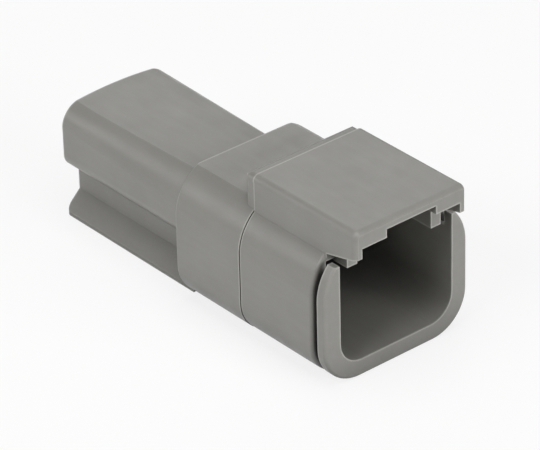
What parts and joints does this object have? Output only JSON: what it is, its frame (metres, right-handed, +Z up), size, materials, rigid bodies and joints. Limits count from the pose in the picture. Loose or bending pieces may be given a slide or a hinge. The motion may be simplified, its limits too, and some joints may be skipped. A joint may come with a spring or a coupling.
{
  "type": "sealed connector receptacle",
  "caption": "Sealed in-line connector receptacle: a moulded shell with a latch hood over its open mouth, a clip rail, pin contacts, a wire seal and a slide-in wedge lock.",
  "frame": {"origin": "middle of the length, on the centre plane, at the underside", "axes": "+X along the connector and out of the open mouth, +Y across it, +Z up towards the hood"},
  "size_m": [0.0464, 0.0186, 0.0182],
  "materials": {
    "shell": "satin moulded thermoplastic, mid grey",
    "seal": "matte silicone, brick red",
    "contact": "nickel plated, satin",
    "wedge": "satin moulded thermoplastic, near black"
  },
  "bodies": {
    "housing": {"shell": "shell", "wire_seal": "seal", "pin_contact_1": "contact", "pin_contact_2": "contact"},
    "wedge": {"wedge_lock": "wedge"}
  },
  "joints": [
    {"name": "wedge_slide", "type": "slide", "parent": "housing", "child": "wedge", "axis": [1, 0, 0], "range_m": [0, 0.022]}
  ]
}
